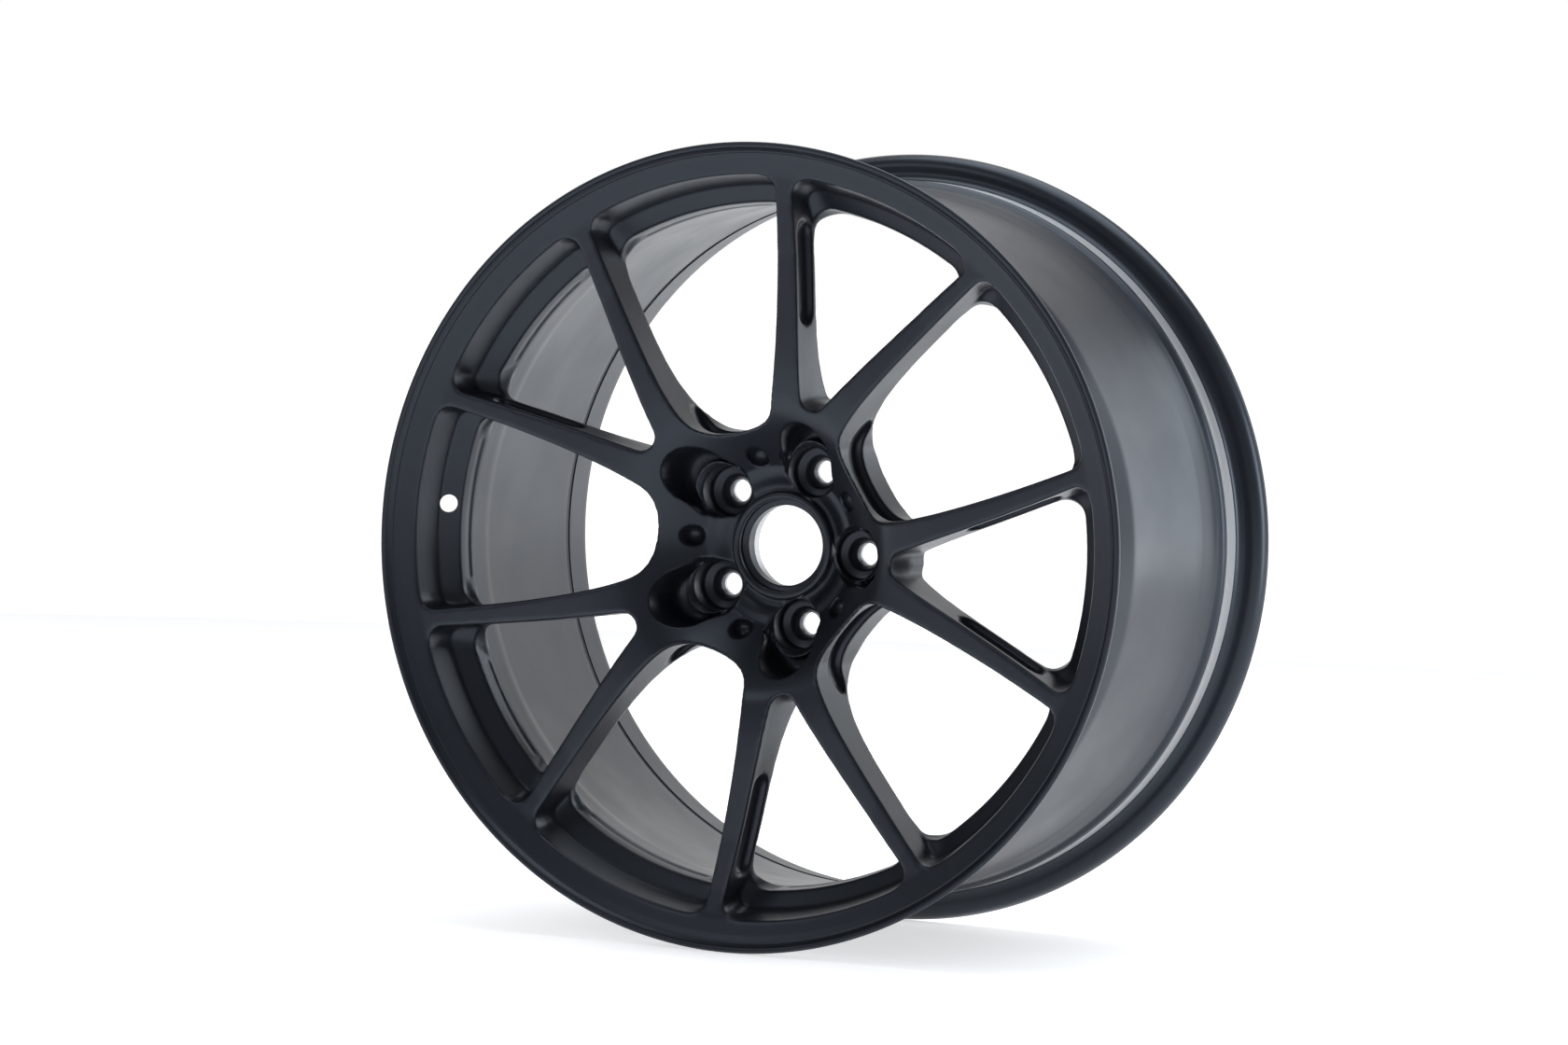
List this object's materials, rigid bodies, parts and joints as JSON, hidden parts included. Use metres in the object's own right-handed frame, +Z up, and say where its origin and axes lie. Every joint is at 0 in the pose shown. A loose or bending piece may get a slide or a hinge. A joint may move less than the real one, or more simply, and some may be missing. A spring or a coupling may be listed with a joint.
{
  "type": "forged racing wheel rim",
  "caption": "Ten-spoke forged racing wheel in satin black, 18 x 9.5J, 5 x 100, with a bare machined centre bore.",
  "frame": {"origin": "centre of the rim width on the axle line", "axes": "+Y along the axle line from the styled face to the brake side, +Z up with the wheel standing on its two flanges"},
  "size_m": [0.4969, 0.2618, 0.497],
  "materials": {
    "satin_black": "satin",
    "bare_aluminium": "machined"
  },
  "bodies": {
    "root": {"outboard_flange": "satin_black", "outboard_bead_seat": "satin_black", "drop_well": "satin_black", "barrel": "satin_black", "inboard_bead_seat": "satin_black", "inboard_flange": "satin_black", "hub_disc": "satin_black", "mounting_pad": "bare_aluminium", "bore_collar": "satin_black", "lug_boss_1": "satin_black", "lug_boss_2": "satin_black", "lug_boss_3": "satin_black", "lug_boss_4": "satin_black", "lug_boss_5": "satin_black", "spoke_01": "satin_black", "spoke_02": "satin_black", "spoke_03": "satin_black", "spoke_04": "satin_black", "spoke_05": "satin_black", "spoke_06": "satin_black", "spoke_07": "satin_black", "spoke_08": "satin_black", "spoke_09": "satin_black", "spoke_10": "satin_black"}
  },
  "joints": []
}
